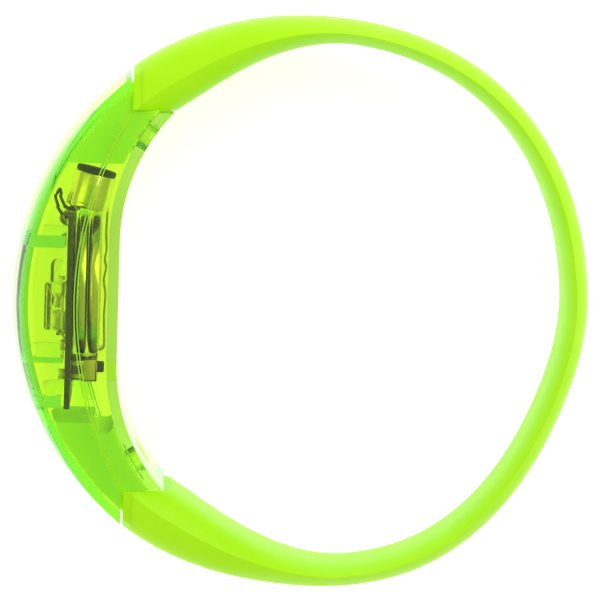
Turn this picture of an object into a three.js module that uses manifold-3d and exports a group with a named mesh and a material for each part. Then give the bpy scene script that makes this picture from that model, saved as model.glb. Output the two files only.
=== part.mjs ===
// Light-up wristband: a silicone strap that closes its ring through a clear two-part case.
// Millimetres. The ring's axis is Z and the band lies on its side: Z runs from 0 to the case's width.
// The case sits at -X, the thin back of the strap at +X.
import * as THREE from "three";
import { mergeVertices } from "three/addons/utils/BufferGeometryUtils.js";
import Module from "manifold-3d";

const wasm = await Module();
wasm.setup();

// ---- Driving dimensions ----

// Ring and case
const RING_RADIUS = 40.5; // the case's outer surface, about the ring's axis
const CASE_DRAW = 2; // how far each side draws in towards the case's ends
const CASE_FLAT = 10; // half length of the flat stretch on each side
const CROWN = 1.3; // how far the outer surface falls from its middle to its sides
const EDGE_ROUND = 1.2; // rounding of the outer surface into the sides
const WALL = 1.5;
const PANEL_WALL = 1.8; // outer wall between the two board ribs
const PARTING_DEPTH = 8.9; // outer surface to the joint between the covers, at the middle
const PARTING_RADIUS = 52;
const WRIST_FLAT = 8.5; // half length of the flat stretch of the wrist face
const WRIST_END_RADIUS = 26;
const SEAM = 0.3; // gap between the two covers
const FIT = 0.3; // gap around seated pieces
const LIP_THICKNESS = 0.8;
const LIP_HEIGHT = 1.2;
const LIP_HALF_LENGTH = 16;
const END_PAST_SCREW = 4.2; // a screw's axis to the inner cover's end face

// Strap
const STRAP_THICKNESS = 3.5; // at the back
const STRAP_WIDTH = 16; // at the back
// How far the slack strap stands out past the ring's radius, at angles from the back in degrees
const STRAP_BULGES = [
  { angle: -135, bulge: -0.3 },
  { angle: -100, bulge: -0.75 },
  { angle: -62, bulge: 0.85 },
  { angle: -22, bulge: -0.55 },
  { angle: 3, bulge: 0 },
  { angle: 45, bulge: 0.9 },
  { angle: 92, bulge: -0.4 },
  { angle: 135, bulge: 0 },
];
const RIDGE_SHARE = 0.57; // share of the thickness that lies outside the side ridge
const UPPER_TONGUE_REACH = 3; // past the upper screw's axis
const LOWER_TONGUE_REACH = 5; // past the lower screw's axis
const TONGUE_NOTCH_RADIUS = 1.4;

// Circuit board, lying along Y at the parting line
const BOARD_THICKNESS = 0.8;
const BOARD_SIDE_GAP = 0.5;
const BOARD_PAST_CELLS = 0; // the board's upper end, level with the cells
const BOARD_PAST_SWITCH = 3.45;
const BOARD_LIFT = 0.35; // the board's inner face outside the parting line's middle
const RIB = 1.7;
const UPPER_RIB_INSET = 3.6; // the board's upper end to the middle of its rib
const LOWER_RIB_INSET = 1.05;
const WEB = 0.8;
const WEB_Y = -8.3;

// Cells and their clip
const CELL_RADIUS = 10;
const CELL_THICKNESS = 1.6;
const CELL_GAP = 0.2;
const CELL_SIDE_GAP = 0.4; // a cell's edge to the inner cover's lips
const CELL_Y = 1.7;
const CLIP_SHEET = 0.3;
const CLIP_WIDTH = 5;
const CLIP_OFFSET = -6; // off the case's middle, to clear the switch
const CLIP_DIMPLE = 0.28;
const CLIP_ROOM = 0.32; // the leaf to the inside of the wrist wall

// Microphone, leaning towards the wrist
const MIC_RADIUS = 2.9;
const MIC_LENGTH = 5;
const MIC_LEAN = THREE.MathUtils.degToRad(13);
const MIC_X = 1.3; // foot of the can from the parting line's middle, towards the wrist
const MIC_LIFT = 0.7; // foot of the can above the board's end
const MIC_OFFSET = 4; // off the case's middle
const FELT_RADIUS = 2.8;
const FELT_THICKNESS = 0.5;
const WIRE_DIAMETER = 0.4;
const WIRE_SPACING = 1.8;
const WIRE_ROOM = 1.9; // a wire's loop to the inside of the outer wall

// Small parts on the board's outer face, offset from the case's middle
const CHIP_DOME = { height: 1.2, halfLength: 1.2, halfWidth: 2.6, inset: 1.2, offset: -3 };
const RESISTOR = { height: 0.5, length: 1.25, width: 2 };
const CAPACITOR = { height: 0.8, length: 1.25, width: 2 };
const CENTRE_RESISTOR_PLACE = { y: 0.2, offset: 0.2 };
const LOWER_RESISTOR_PLACES = [
  { y: -6.85, offset: -4 },
  { y: -6.85, offset: 4 },
];
const CAPACITOR_PLACE = { y: -11.4, offset: -1 };

// Light-emitting diodes, lying on the board's outer face
const BLOCK_LED = { height: 2.8, low: -4.5, high: 2.1, width: 5, offset: 5.5, round: 0.9 };
const TUBE_LED = { radius: 1.25, low: -5.1, high: 4.6, offset: -5 };
const BLOCK_FRAME = { depth: 1.5, width: 2 };
const TUBE_FRAME = { depth: 1.3, width: 0.9 };
const LEAD_SHEET = 0.5;
const LEAD_FOOT = 0.8; // how far a frame's foot stands out past its lens
const CUP_GAP = 0.5; // between a frame's cup and its post

// Slide switch on the board's inner face; its knob slides along Z
const SWITCH_HEIGHT = 3.3;
const SWITCH_DEPTH = 3.2;
const SWITCH_LENGTH = 8.6;
const SWITCH_PAST_CELLS = 0.2;
const SWITCH_OFFSET = 1.6; // off the case's middle
const KNOB = 1.5;
const KNOB_SINK = 0.4; // the knob's end below the inside of the wrist wall
const KNOB_FOOT = 1.2; // inside the switch body
const KNOB_TRAVEL = 2;

// Case screws
const SCREW_PAST_MIC = 3.8; // the microphone's felt to the screw's axis
const SCREW_RADIUS = 1;
const SCREW_LENGTH = 5.2;
const SCREW_HEAD_RADIUS = 1.7;
const SCREW_HEAD_HEIGHT = 1.2;
const HEAD_RECESS = 0.35; // wrist face to the top of the screw's head
const BOSS_WALL = 1.1;

// ---- Sizes worked out from them ----

const CASE_WIDTH = (CELL_RADIUS + CELL_SIDE_GAP + LIP_THICKNESS + FIT + WALL) * 2;
const CASE_END_WIDTH = CASE_WIDTH - CASE_DRAW * 2;
const MIDDLE_Z = CASE_WIDTH / 2;
const FAR = RING_RADIUS * 2;
const BOARD_WIDTH = CASE_WIDTH - (WALL + BOARD_SIDE_GAP) * 2;
const BOARD_TOP = CELL_Y + CELL_RADIUS + BOARD_PAST_CELLS;
const SWITCH_TOP_Y = CELL_Y - CELL_RADIUS - SWITCH_PAST_CELLS;
const BOARD_BOTTOM = SWITCH_TOP_Y - SWITCH_DEPTH - BOARD_PAST_SWITCH;
const UPPER_RIB_Y = BOARD_TOP - UPPER_RIB_INSET;
const LOWER_RIB_Y = BOARD_BOTTOM + LOWER_RIB_INSET;
const SCREW_Y = BOARD_TOP + MIC_LIFT + MIC_LENGTH + FIT + FELT_THICKNESS + SCREW_PAST_MIC;
const CASE_HALF_LENGTH = SCREW_Y + END_PAST_SCREW; // the inner cover's end faces
const UPPER_TONGUE_END = SCREW_Y - UPPER_TONGUE_REACH;
const LOWER_TONGUE_END = SCREW_Y - LOWER_TONGUE_REACH;

const PARTING_X = PARTING_DEPTH - RING_RADIUS;
const MOUTH_X = partingX(CASE_HALF_LENGTH); // the outer cover's end faces
const BOARD_INNER_X = PARTING_X - BOARD_LIFT;
const BOARD_OUTER_X = BOARD_INNER_X - BOARD_THICKNESS;
const OUTER_CELL_X = BOARD_INNER_X + FIT;
const INNER_CELL_X = OUTER_CELL_X + CELL_THICKNESS + CELL_GAP;
const CELLS_END_X = INNER_CELL_X + CELL_THICKNESS;
const WRIST_X = CELLS_END_X + FIT + CLIP_DIMPLE + CLIP_SHEET + CLIP_ROOM + WALL;
const CASE_DEPTH = WRIST_X + RING_RADIUS; // outer surface to wrist face, at the middle

// X of the joint between the covers, at a given Y.
function partingX(y) {
  return PARTING_X + PARTING_RADIUS - Math.sqrt(PARTING_RADIUS ** 2 - y ** 2);
}

// X of the wrist face, at a given Y.
function wristX(y) {
  const past = Math.max(Math.abs(y) - WRIST_FLAT, 0);
  return WRIST_X + WRIST_END_RADIUS - Math.sqrt(WRIST_END_RADIUS ** 2 - past ** 2);
}

// ---- Solids ----

// A closed three.js geometry as a manifold-3d solid.
function solid(geometry) {
  const bare = geometry.clone();
  bare.deleteAttribute("normal");
  bare.deleteAttribute("uv");
  const merged = mergeVertices(bare, 1e-4);
  const vertProperties = new Float32Array(merged.attributes.position.array);
  const triVerts = new Uint32Array(merged.index.array);
  return new wasm.Manifold(new wasm.Mesh({ numProp: 3, vertProperties, triVerts }));
}

// A manifold-3d solid as a three.js geometry.
function geometryOf(shape) {
  const { numProp, numVert, vertProperties, triVerts } = shape.getMesh();
  const positions = new Float32Array(numVert * 3);
  for (let i = 0; i < numVert; i++) {
    positions.set(vertProperties.subarray(i * numProp, i * numProp + 3), i * 3);
  }
  const geometry = new THREE.BufferGeometry();
  geometry.setAttribute("position", new THREE.BufferAttribute(positions, 3));
  geometry.setIndex(new THREE.BufferAttribute(triVerts, 1));
  geometry.computeVertexNormals();
  return geometry;
}

function union(...shapes) {
  return shapes.reduce((all, shape) => all.add(shape));
}

function box([x0, x1], [y0, y1], [z0, z1]) {
  const geometry = new THREE.BoxGeometry(x1 - x0, y1 - y0, z1 - z0);
  return geometry.translate((x0 + x1) / 2, (y0 + y1) / 2, (z0 + z1) / 2);
}

// An XY outline with height along Z.
function prism(outline, z0, z1, curveSegments = 24) {
  const geometry = new THREE.ExtrudeGeometry(outline, { depth: z1 - z0, curveSegments, bevelEnabled: false });
  return geometry.translate(0, 0, z0);
}

// A cylinder between two points.
function rod(from, to, radius, segments = 24) {
  const along = to.clone().sub(from);
  const geometry = new THREE.CylinderGeometry(radius, radius, along.length(), segments);
  const turn = new THREE.Quaternion().setFromUnitVectors(new THREE.Vector3(0, 1, 0), along.normalize());
  geometry.applyQuaternion(turn);
  const middle = from.clone().lerp(to, 0.5);
  return geometry.translate(middle.x, middle.y, middle.z);
}

function disc(x, radius, segments = 60) {
  const outline = new THREE.Shape();
  outline.absarc(x, 0, radius, 0, Math.PI * 2);
  return prism(outline, -FAR, FAR, segments);
}

// A sheet of even thickness along a line of XY points, with a width along Z.
function strip(points, thickness, z0, z1) {
  const side = (sign) =>
    points.map((point, i) => {
      const before = points[Math.max(i - 1, 0)];
      const after = points[Math.min(i + 1, points.length - 1)];
      const into = point.clone().sub(before).normalize();
      const out = after.clone().sub(point).normalize();
      const along = into.clone().add(out).normalize();
      const bend = Math.max(along.dot(i ? into : out), 0.5);
      const normal = new THREE.Vector2(-along.y, along.x);
      return point.clone().addScaledVector(normal, (sign * thickness) / 2 / bend);
    });
  return prism(new THREE.Shape([...side(-1), ...side(1).reverse()]), z0, z1);
}

function mesh(name, shape, color, look = {}) {
  const geometry = shape.isBufferGeometry ? shape : geometryOf(shape);
  const material = new THREE.MeshStandardMaterial({ color, roughness: 0.5, metalness: 0, ...look });
  const made = new THREE.Mesh(geometry, material);
  made.name = name;
  return made;
}

const CLEAR_GREEN = { roughness: 0.12, transparent: true, opacity: 0.5 };
const METAL = { roughness: 0.3, metalness: 0.9 };

// ---- The case's envelope ----

// The crowned drum whose rim is the case's outer surface, with each face moved in by inset.
function drum(inset) {
  const rimSteps = 14;
  const round = Math.max(EDGE_ROUND - inset, 0.4);
  const halfWidth = MIDDLE_Z - inset;
  const rim = [];
  for (let i = 0; i <= rimSteps; i++) {
    const across = Math.sin(((i / rimSteps) * 2 - 1) * (Math.PI / 2));
    const z = MIDDLE_Z + halfWidth * across;
    const fromEdge = halfWidth * (1 - Math.abs(across));
    const rounding = fromEdge < round ? round - Math.sqrt(round ** 2 - (round - fromEdge) ** 2) : 0;
    const crown = CROWN * ((z - MIDDLE_Z) / MIDDLE_Z) ** 2;
    rim.push(new THREE.Vector2(RING_RADIUS - inset - crown - rounding, z));
  }
  const profile = [new THREE.Vector2(0, inset), ...rim, new THREE.Vector2(0, CASE_WIDTH - inset)];
  const geometry = new THREE.LatheGeometry(profile, 128);
  return solid(geometry.rotateX(Math.PI / 2).rotateY(Math.PI).translate(0, 0, CASE_WIDTH));
}

// The case's outline seen along X: flat in the middle and drawn in towards the ends.
function sideOutline(inset) {
  const mouthY = Math.sqrt(RING_RADIUS ** 2 - MOUTH_X ** 2);
  const draw = (CASE_WIDTH - CASE_END_WIDTH) / 2;
  const radius = ((mouthY - CASE_FLAT) ** 2 + draw ** 2) / (2 * draw);
  const sweep = Math.asin((mouthY + WALL * 2 - CASE_FLAT) / radius);
  const low = radius;
  const high = CASE_WIDTH - radius;
  const r = radius - inset;
  const outline = new THREE.Shape();
  outline.absarc(CASE_FLAT, low, r, -Math.PI / 2, sweep - Math.PI / 2);
  outline.absarc(CASE_FLAT, high, r, Math.PI / 2 - sweep, Math.PI / 2);
  outline.absarc(-CASE_FLAT, high, r, Math.PI / 2, Math.PI / 2 + sweep);
  outline.absarc(-CASE_FLAT, low, r, -Math.PI / 2 - sweep, -Math.PI / 2);
  const towardsX = new THREE.Matrix4().makeBasis(
    new THREE.Vector3(0, 1, 0),
    new THREE.Vector3(0, 0, 1),
    new THREE.Vector3(1, 0, 0),
  );
  return solid(prism(outline, -FAR, 0, 8).applyMatrix4(towardsX));
}

// Everything on the wrist's side of the wrist face.
function wristSide(inset) {
  const centreX = WRIST_X + WRIST_END_RADIUS;
  const radius = WRIST_END_RADIUS + inset;
  const outline = new THREE.Shape();
  outline.moveTo(FAR, WRIST_FLAT + radius);
  outline.absarc(centreX, WRIST_FLAT, radius, Math.PI / 2, Math.PI);
  outline.absarc(centreX, -WRIST_FLAT, radius, Math.PI, Math.PI * 1.5);
  outline.lineTo(FAR, -WRIST_FLAT - radius);
  return solid(prism(outline, -FAR, FAR, 16));
}

// The whole case as one solid with every face moved in by inset, its ends left running on.
function envelope(inset) {
  return drum(inset).intersect(sideOutline(inset)).subtract(wristSide(inset));
}

function slab(low, high) {
  return solid(box([-FAR, 0], [low, high], [-FAR, FAR]));
}

const WITHIN_INNER_LENGTH = slab(-CASE_HALF_LENGTH, CASE_HALF_LENGTH);
const BEHIND_MOUTH = solid(box([-FAR, MOUTH_X], [-FAR, FAR], [-FAR, FAR]));
const CAVITY = envelope(WALL);

// ---- Screws and their bosses ----

// A point on a screw's axis, at a depth from the wrist face. end is 1 for the upper screw, -1 for the lower.
function screwPoint(end, depth) {
  const lean = Math.asin((SCREW_Y - WRIST_FLAT) / WRIST_END_RADIUS);
  const x = wristX(SCREW_Y) - depth * Math.cos(lean);
  const y = SCREW_Y + depth * Math.sin(lean);
  return new THREE.Vector3(x, end * y, MIDDLE_Z);
}

function screwRod(end, fromDepth, toDepth, radius, segments = 24) {
  return solid(rod(screwPoint(end, fromDepth), screwPoint(end, toDepth), radius, segments));
}

const HEAD_SEAT = HEAD_RECESS + SCREW_HEAD_HEIGHT + FIT;
const INNER_BOSS_END = HEAD_SEAT + BOSS_WALL;
const OUTER_BOSS_START = INNER_BOSS_END + FIT;
const INNER_BOSS_RADIUS = SCREW_HEAD_RADIUS + FIT + BOSS_WALL;
const OUTER_BOSS_RADIUS = SCREW_RADIUS + FIT + BOSS_WALL;
const SCREW_END = HEAD_RECESS + SCREW_HEAD_HEIGHT + SCREW_LENGTH;

// A bar across the top of a screw's head, for half of its cross recess.
function recessBar(end, across) {
  const reach = across.clone().setLength(SCREW_HEAD_RADIUS * 0.6);
  const top = screwPoint(end, HEAD_RECESS);
  return solid(rod(top.clone().sub(reach), top.clone().add(reach), SCREW_HEAD_HEIGHT / 3, 4));
}

function screw(end) {
  const headEnd = HEAD_RECESS + SCREW_HEAD_HEIGHT;
  const head = screwRod(end, HEAD_RECESS, headEnd, SCREW_HEAD_RADIUS);
  const shank = screwRod(end, headEnd - SCREW_HEAD_HEIGHT / 2, SCREW_END, SCREW_RADIUS, 16);
  const acrossWidth = new THREE.Vector3(0, 0, 1);
  const along = screwPoint(end, 1).sub(screwPoint(end, 0));
  const acrossLength = new THREE.Vector3().crossVectors(acrossWidth, along);
  const recess = union(recessBar(end, acrossWidth), recessBar(end, acrossLength));
  return union(head, shank).subtract(recess);
}

// ---- Covers ----

function rib(y, thickness) {
  const tall = [-FAR, BOARD_OUTER_X - FIT];
  const across = box(tall, [y - thickness / 2, y + thickness / 2], [0, CASE_WIDTH]);
  return solid(across).intersect(envelope(WALL / 2));
}

// The heavier wall between the ribs.
function panelLining() {
  const stretch = slab(LOWER_RIB_Y, UPPER_RIB_Y).intersect(envelope(WALL / 2));
  return stretch.subtract(solid(disc(0, RING_RADIUS - PANEL_WALL)));
}

function outerCover() {
  const shell = envelope(0).subtract(solid(disc(PARTING_X + PARTING_RADIUS, PARTING_RADIUS)));
  const bosses = [1, -1].map((end) => {
    const boss = screwRod(end, OUTER_BOSS_START, OUTER_BOSS_START + CASE_DEPTH, OUTER_BOSS_RADIUS);
    return boss.intersect(envelope(WALL / 2));
  });
  const bores = [1, -1].map((end) => screwRod(end, 0, SCREW_END + FIT, SCREW_RADIUS + FIT, 16));
  const ribs = [rib(UPPER_RIB_Y, RIB), rib(LOWER_RIB_Y, RIB), rib(WEB_Y, WEB)];
  return shell
    .intersect(BEHIND_MOUTH)
    .subtract(CAVITY)
    .add(union(panelLining(), ...ribs, ...bosses))
    .subtract(union(...bores));
}

// The thin walls of the inner cover that stand inside the outer cover's sides, under the board.
function lips() {
  const centreX = PARTING_X + PARTING_RADIUS;
  const ring = (from, to) => solid(disc(centreX, to)).subtract(solid(disc(centreX, from)));
  const inner = envelope(WALL + FIT + LIP_THICKNESS);
  const base = envelope(WALL / 2)
    .subtract(inner)
    .intersect(ring(PARTING_RADIUS - SEAM - LIP_THICKNESS, PARTING_RADIUS - SEAM));
  const rise = envelope(WALL + FIT)
    .subtract(inner)
    .intersect(ring(PARTING_RADIUS - SEAM - LIP_THICKNESS, PARTING_RADIUS + LIP_HEIGHT));
  const underBoard = solid(box([BOARD_INNER_X + FIT, 0], [-LIP_HALF_LENGTH, LIP_HALF_LENGTH], [-FAR, FAR]));
  return base.add(rise).intersect(underBoard);
}

function innerCover() {
  const shell = envelope(0)
    .intersect(solid(disc(PARTING_X + PARTING_RADIUS, PARTING_RADIUS - SEAM)))
    .intersect(WITHIN_INNER_LENGTH)
    .subtract(CAVITY);
  const bosses = [1, -1].map((end) => {
    const boss = screwRod(end, 0, INNER_BOSS_END, INNER_BOSS_RADIUS);
    return boss.subtract(wristSide(WALL / 2)).intersect(WITHIN_INNER_LENGTH);
  });
  const bores = [1, -1].map((end) => screwRod(end, -WALL, INNER_BOSS_END + WALL, SCREW_RADIUS + FIT, 16));
  const recesses = [1, -1].map((end) => screwRod(end, -WALL, HEAD_SEAT, SCREW_HEAD_RADIUS + FIT));
  return shell.add(union(lips(), ...bosses)).subtract(union(...bores, ...recesses, knobSlot()));
}

// ---- Strap ----

const MOUTH_Y = Math.sqrt(RING_RADIUS ** 2 - MOUTH_X ** 2);
const MOUTH_ANGLE = Math.atan2(MOUTH_Y, MOUTH_X);
const MOUTH_THICKNESS = RING_RADIUS - Math.hypot(wristX(CASE_HALF_LENGTH), CASE_HALF_LENGTH);
const SPLIT_ANGLE = Math.atan2(CASE_HALF_LENGTH, MOUTH_X);

const ease = THREE.MathUtils.smoothstep;

// The strap's bulge at an angle in degrees, level at each angle of STRAP_BULGES.
function strapBulge(angle) {
  const next = STRAP_BULGES.findIndex((place) => place.angle > angle);
  if (next < 1) {
    return STRAP_BULGES.at(next).bulge;
  }
  const [from, to] = STRAP_BULGES.slice(next - 1, next + 1);
  return THREE.MathUtils.lerp(from.bulge, to.bulge, ease(angle, from.angle, to.angle));
}

// The strap's section at an angle from +X: a ring of points in the plane of the ring's axis.
function strapSection(angle) {
  const run = Math.abs(angle) / MOUTH_ANGLE; // 0 at the back, 1 at the case
  const outer = RING_RADIUS + strapBulge(THREE.MathUtils.radToDeg(angle));
  const thickness = THREE.MathUtils.lerp(STRAP_THICKNESS, MOUTH_THICKNESS, ease(run, 0.63, 0.99));
  const halfWidth = THREE.MathUtils.lerp(STRAP_WIDTH, CASE_END_WIDTH, ease(run, 0.35, 1)) / 2;
  const squareness = THREE.MathUtils.lerp(4, 7, ease(run, 0.6, 1));
  const ridge = outer - RIDGE_SHARE * thickness;
  const steps = 10;
  const points = [];
  for (let i = 0; i < steps * 2; i++) {
    const across = Math.cos((i / steps) * Math.PI); // 1 at the upper ridge, -1 at the lower
    const side = i < steps ? RIDGE_SHARE : RIDGE_SHARE - 1;
    const radius = ridge + side * thickness * (1 - Math.abs(across) ** squareness);
    const z = MIDDLE_Z + across * halfWidth;
    points.push(new THREE.Vector3(radius * Math.cos(angle), radius * Math.sin(angle), z));
  }
  return points;
}

// A closed body through a row of sections with the same number of points.
function loft(sections) {
  const count = sections[0].length;
  const positions = sections.flat().flatMap((point) => point.toArray());
  const index = [];
  for (let s = 0; s + 1 < sections.length; s++) {
    for (let i = 0; i < count; i++) {
      const [a, b] = [s * count + i, s * count + ((i + 1) % count)];
      index.push(a, b, a + count, b, b + count, a + count);
    }
  }
  const last = (sections.length - 1) * count;
  for (let i = 1; i + 1 < count; i++) {
    index.push(0, i + 1, i, last, last + i, last + i + 1);
  }
  const geometry = new THREE.BufferGeometry();
  geometry.setAttribute("position", new THREE.Float32BufferAttribute(positions, 3));
  geometry.setIndex(index);
  return geometry;
}

function strapLoop() {
  const stations = 48;
  const reach = SPLIT_ANGLE + THREE.MathUtils.degToRad(3);
  const sections = [];
  for (let i = 0; i <= stations; i++) {
    sections.push(strapSection(reach * ((2 * i) / stations - 1)));
  }
  const acrossInner = slab(-CASE_HALF_LENGTH - FIT, CASE_HALF_LENGTH + FIT);
  const acrossOuter = solid(box([-FAR, MOUTH_X + FIT], [-FAR, FAR], [-FAR, FAR]));
  return solid(loft(sections)).subtract(acrossInner).subtract(acrossOuter);
}

// The ends of the strap inside the case.
function tongues() {
  const overlap = 1;
  const inMouths = solid(box([-FAR, MOUTH_X + overlap], [-FAR, FAR], [-FAR, FAR])).add(
    slab(-CASE_HALF_LENGTH - overlap, CASE_HALF_LENGTH + overlap),
  );
  const notch = solid(
    rod(
      new THREE.Vector3(wristX(LOWER_TONGUE_END) - WALL * 2, -LOWER_TONGUE_END, -FAR),
      new THREE.Vector3(wristX(LOWER_TONGUE_END) - WALL * 2, -LOWER_TONGUE_END, FAR),
      TONGUE_NOTCH_RADIUS,
    ),
  );
  return envelope(WALL + FIT)
    .intersect(inMouths)
    .subtract(slab(-LOWER_TONGUE_END, UPPER_TONGUE_END))
    .subtract(notch);
}

function strap() {
  const passages = [1, -1].map((end) => screwRod(end, 0, CASE_DEPTH, INNER_BOSS_RADIUS + FIT));
  return strapLoop().add(tongues()).subtract(union(...passages));
}

// ---- Board, cells and clip ----

function circuitBoard() {
  const low = MIDDLE_Z - BOARD_WIDTH / 2;
  return box([BOARD_OUTER_X, BOARD_INNER_X], [BOARD_BOTTOM, BOARD_TOP], [low, low + BOARD_WIDTH]);
}

// A coin cell with its stepped negative face towards -X.
function cell(x) {
  const step = 0.25;
  const profile = [
    [0, 0],
    [CELL_RADIUS - 1.2, 0],
    [CELL_RADIUS - 1, step],
    [CELL_RADIUS, step],
    [CELL_RADIUS, CELL_THICKNESS],
    [0, CELL_THICKNESS],
  ].map(([r, along]) => new THREE.Vector2(r, along));
  const geometry = new THREE.LatheGeometry(profile, 48);
  return geometry.rotateZ(-Math.PI / 2).translate(x, CELL_Y, MIDDLE_Z);
}

// The leaf that starts over the board's end, runs down the inner cell's face and curls under it.
function batteryClip() {
  const sheet = CLIP_SHEET;
  const top = Math.max(BOARD_TOP, CELL_Y + CELL_RADIUS) + FIT + sheet / 2;
  const leafX = CELLS_END_X + FIT + sheet / 2 + CLIP_DIMPLE;
  const nearest = CLIP_OFFSET + CLIP_WIDTH / 2;
  const bottom = CELL_Y - Math.sqrt(CELL_RADIUS ** 2 - nearest ** 2) - FIT - sheet / 2;
  const points = [
    [BOARD_OUTER_X, top],
    [leafX - sheet, top],
    [leafX, top - sheet],
    [leafX, CELL_Y + 4],
    [leafX - CLIP_DIMPLE / 2, CELL_Y + 3],
    [leafX, CELL_Y + 2],
    [leafX - CLIP_DIMPLE, CELL_Y],
    [leafX, CELL_Y - 2],
    [leafX, bottom + sheet * 2],
    [leafX - sheet * 2, bottom],
    [leafX - CELL_THICKNESS, bottom],
  ].map(([x, y]) => new THREE.Vector2(x, y));
  const z = MIDDLE_Z + CLIP_OFFSET;
  return strip(points, sheet, z - CLIP_WIDTH / 2, z + CLIP_WIDTH / 2);
}

// ---- Microphone ----

const MIC_ALONG = new THREE.Vector3(Math.sin(MIC_LEAN), Math.cos(MIC_LEAN), 0);
const MIC_FOOT = new THREE.Vector3(PARTING_X + MIC_X, BOARD_TOP + MIC_LIFT, MIDDLE_Z + MIC_OFFSET);

function micPoint(along) {
  return MIC_FOOT.clone().addScaledVector(MIC_ALONG, along);
}

// A wire from under the can, looping out beside it and down to the board's outer face.
function micWire(side) {
  const z = MIC_FOOT.z + (side * WIRE_SPACING) / 2;
  const outX = BOARD_OUTER_X;
  const bendY = BOARD_TOP + 2.2;
  const reach = Math.sqrt((RING_RADIUS - WALL) ** 2 - bendY ** 2) - WIRE_ROOM + outX;
  const foot = [MIC_FOOT.x - MIC_RADIUS * 0.45, BOARD_TOP + FIT + WIRE_DIAMETER / 2];
  const route = [
    foot,
    [outX - 0.35, BOARD_TOP + FIT + WIRE_DIAMETER],
    [outX - reach * 0.55, BOARD_TOP + 1.9],
    [outX - reach * 0.75, BOARD_TOP + 3.2],
    [outX - reach, bendY],
    [outX - reach * 0.75, BOARD_TOP + 0.4],
    [outX - FIT - WIRE_DIAMETER / 2, BOARD_TOP - 1],
  ].map(([x, y]) => new THREE.Vector3(x, y, z));
  const section = new THREE.Shape();
  section.absarc(0, 0, WIRE_DIAMETER / 2, 0, Math.PI * 2);
  const extrudePath = new THREE.CatmullRomCurve3(route);
  const options = { steps: 18, curveSegments: 4, extrudePath, bevelEnabled: false };
  return new THREE.ExtrudeGeometry(section, options);
}

// ---- Light-emitting diodes ----

function roundedOutline(x0, x1, y0, y1, round) {
  const outline = new THREE.Shape();
  outline.moveTo(x1, y0);
  outline.lineTo(x1, y1);
  outline.absarc(x0 + round, y1 - round, round, Math.PI / 2, Math.PI);
  outline.absarc(x0 + round, y0 + round, round, Math.PI, Math.PI * 1.5);
  return outline;
}

// A diode's lead frame: a cup in the middle of the lens, a post beside it and a foot on the board.
function leadFrame(led, { depth, width }) {
  const footX = BOARD_OUTER_X - FIT;
  const near = footX - depth;
  const z = MIDDLE_Z + led.offset;
  const across = [z - width / 2, z + width / 2];
  const middle = (led.high + led.low) / 2;
  const cup = solid(box([near, near + depth / 2], [middle + CUP_GAP / 2, frameTop(led)], across));
  const post = solid(box([near, near + depth * 0.75], [led.low, middle - CUP_GAP / 2], across));
  const bridge = solid(box([near + depth / 4, near + depth / 2], [led.low, frameTop(led)], across));
  const foot = solid(box([near + depth / 4, footX], [led.low - LEAD_FOOT, led.low + LEAD_SHEET], across));
  return union(cup, post, bridge, foot);
}

function frameTop(led) {
  return led.low + (led.high - led.low) * 0.75;
}

// The space in a lens for its lead frame, open at the lens's lower end and towards the board.
function leadPocket(led, { depth, width }) {
  const footX = BOARD_OUTER_X - FIT;
  const z = MIDDLE_Z + led.offset;
  const across = [z - width / 2 - FIT, z + width / 2 + FIT];
  return solid(box([footX - depth - FIT, footX + FIT], [led.low - FIT, frameTop(led) + FIT], across));
}

function blockLens() {
  const { height, low, high, width, offset, round } = BLOCK_LED;
  const z = MIDDLE_Z + offset;
  const footX = BOARD_OUTER_X - FIT;
  const outline = roundedOutline(footX - height, footX, low, high, round);
  return solid(prism(outline, z - width / 2, z + width / 2, 6)).subtract(leadPocket(BLOCK_LED, BLOCK_FRAME));
}

function tubeLens() {
  const { radius, low, high, offset } = TUBE_LED;
  const z = MIDDLE_Z + offset;
  const axisX = BOARD_OUTER_X - FIT - radius;
  const tube = rod(new THREE.Vector3(axisX, low, z), new THREE.Vector3(axisX, high, z), radius, 28);
  return solid(tube).subtract(leadPocket(TUBE_LED, TUBE_FRAME));
}

// ---- Small parts on the board's outer face ----

// The epoxy dome over the control chip.
function controlChip() {
  const { height, halfLength, halfWidth, inset, offset } = CHIP_DOME;
  const baseX = BOARD_OUTER_X - FIT;
  const ball = new THREE.SphereGeometry(1, 20, 12).scale(height, halfLength, halfWidth);
  ball.translate(baseX, BOARD_TOP - inset, MIDDLE_Z + offset);
  return solid(ball).intersect(solid(box([-FAR, baseX], [-FAR, FAR], [-FAR, FAR])));
}

// A chip part standing on the board's outer face.
function chipPart({ y, offset }, { height, length, width }) {
  const baseX = BOARD_OUTER_X - FIT;
  const z = MIDDLE_Z + offset;
  return box([baseX - height, baseX], [y - length / 2, y + length / 2], [z - width / 2, z + width / 2]);
}

// ---- Slide switch ----

const SWITCH_X = BOARD_INNER_X + FIT;
const SWITCH_MOUTH_X = SWITCH_X + SWITCH_HEIGHT;
const KNOB_Y = SWITCH_TOP_Y - SWITCH_DEPTH / 2;
const SWITCH_Z = MIDDLE_Z + SWITCH_OFFSET;
const KNOB_REST_Z = SWITCH_Z - KNOB_TRAVEL / 2;

// The room that the knob sweeps, widened by a gap.
function knobSweep(gap) {
  return [
    [KNOB_Y - KNOB / 2 - gap, KNOB_Y + KNOB / 2 + gap],
    [SWITCH_Z - (KNOB_TRAVEL + KNOB) / 2 - gap, SWITCH_Z + (KNOB_TRAVEL + KNOB) / 2 + gap],
  ];
}

function switchBody() {
  const across = [SWITCH_Z - SWITCH_LENGTH / 2, SWITCH_Z + SWITCH_LENGTH / 2];
  const body = solid(box([SWITCH_X, SWITCH_MOUTH_X], [SWITCH_TOP_Y - SWITCH_DEPTH, SWITCH_TOP_Y], across));
  const pocket = solid(box([SWITCH_MOUTH_X - KNOB_FOOT - FIT, 0], ...knobSweep(FIT)));
  return body.subtract(pocket);
}

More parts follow.
